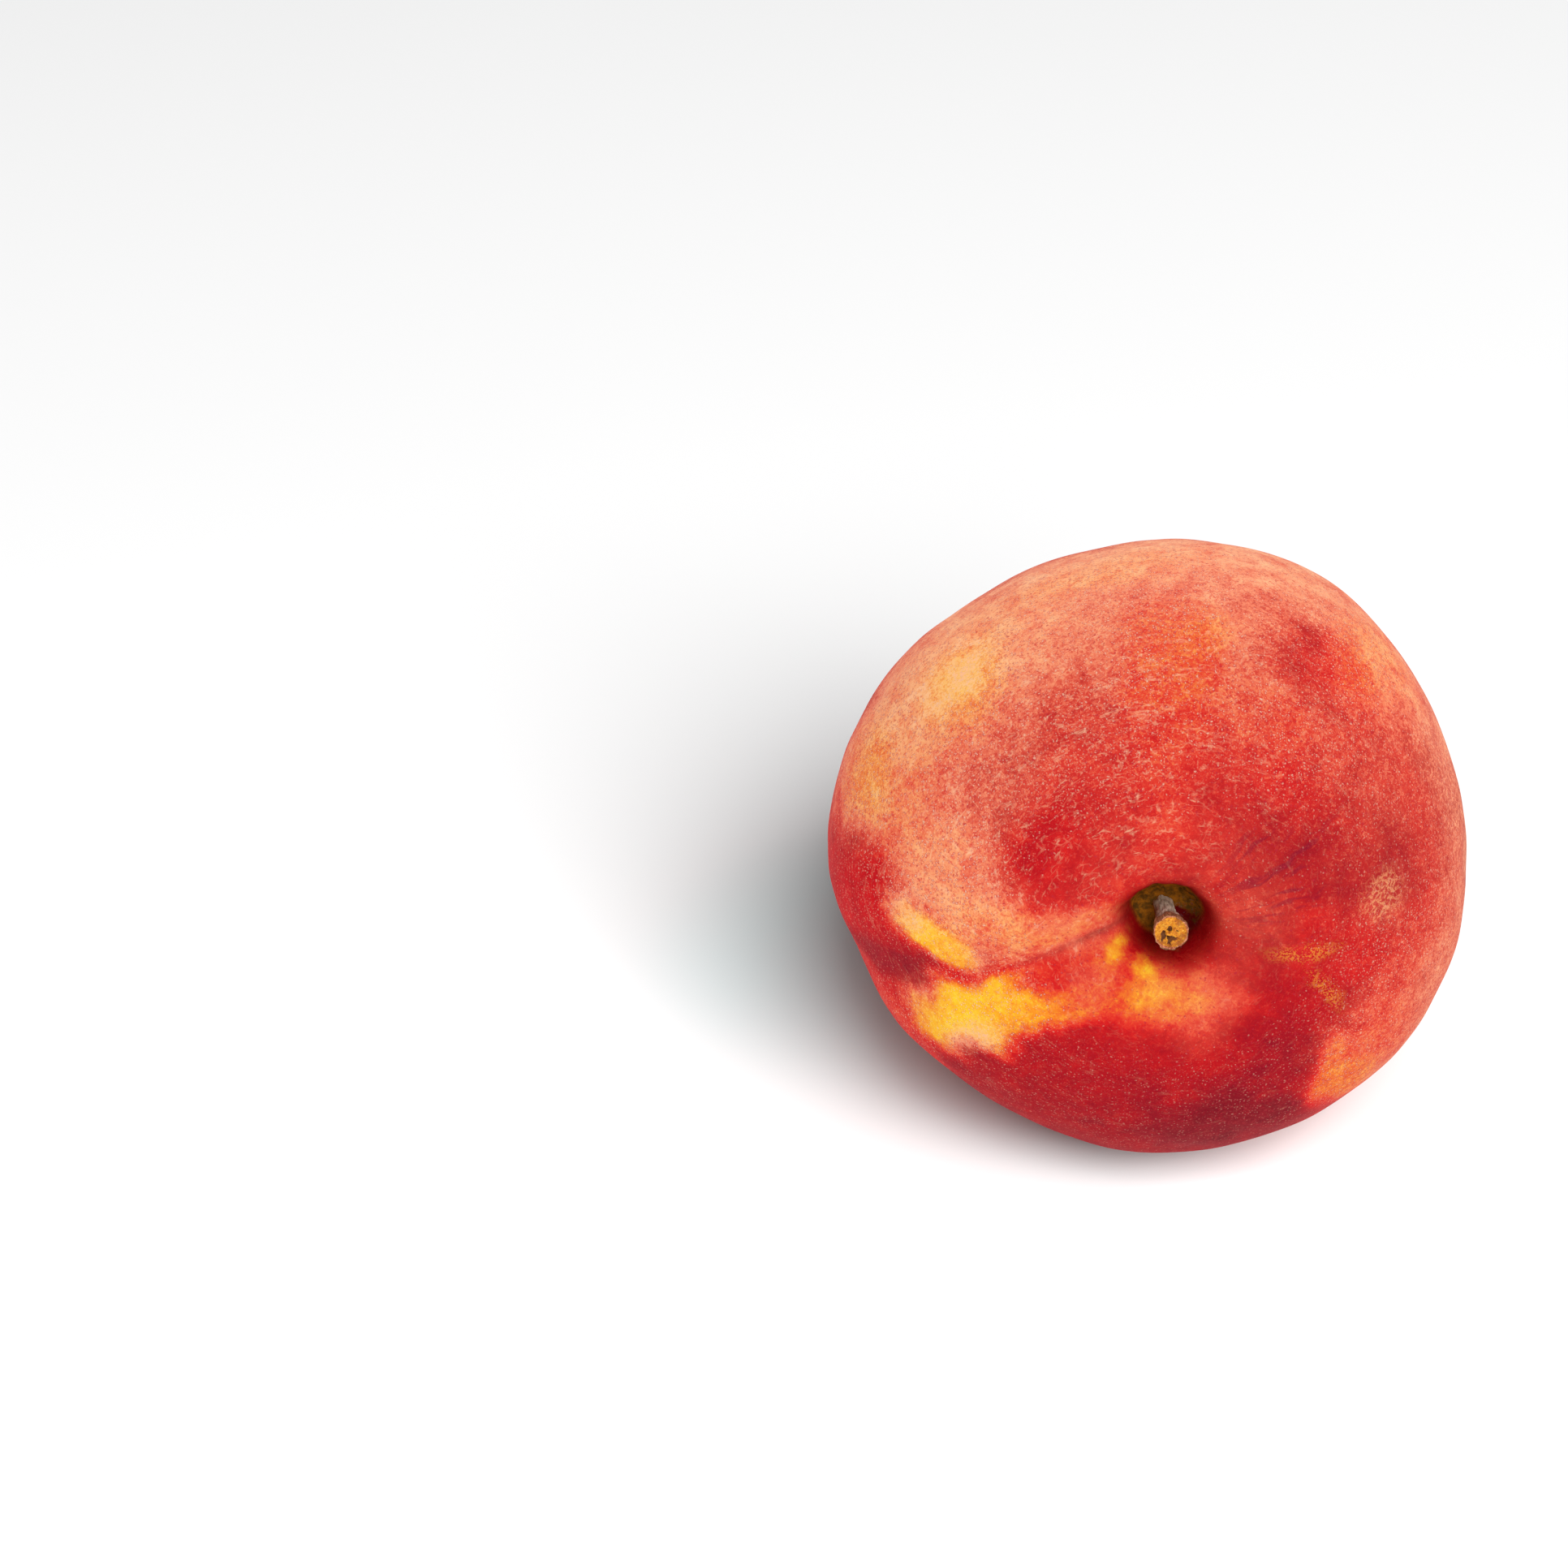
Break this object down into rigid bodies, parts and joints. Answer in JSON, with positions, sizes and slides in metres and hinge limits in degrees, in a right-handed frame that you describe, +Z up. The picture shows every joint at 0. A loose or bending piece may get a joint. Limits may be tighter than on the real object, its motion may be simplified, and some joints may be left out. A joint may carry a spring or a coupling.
{
  "type": "nectarine",
  "caption": "Ripe nectarine lying on its side, with a sunken stem cavity, a short woody stem stub, a suture groove and a small beak at the blossom end.",
  "frame": {"origin": "on the surface the fruit rests on, under the middle of its bounding box", "axes": "+Z up from the resting spot, +X to the right seen from the stem end, -Y towards the stem end"},
  "size_m": [0.0674, 0.068, 0.0638],
  "materials": {
    "skin": "waxy smooth fruit skin, red and maroon over orange and yellow, with fine pale dots",
    "stem_wood": "dry fibrous bark with a yellow-orange cut end",
    "dry_style": "dried brown plant tissue"
  },
  "bodies": {
    "root": {"fruit": "skin", "stem_stub": "stem_wood", "style_tip": "dry_style"}
  },
  "joints": []
}
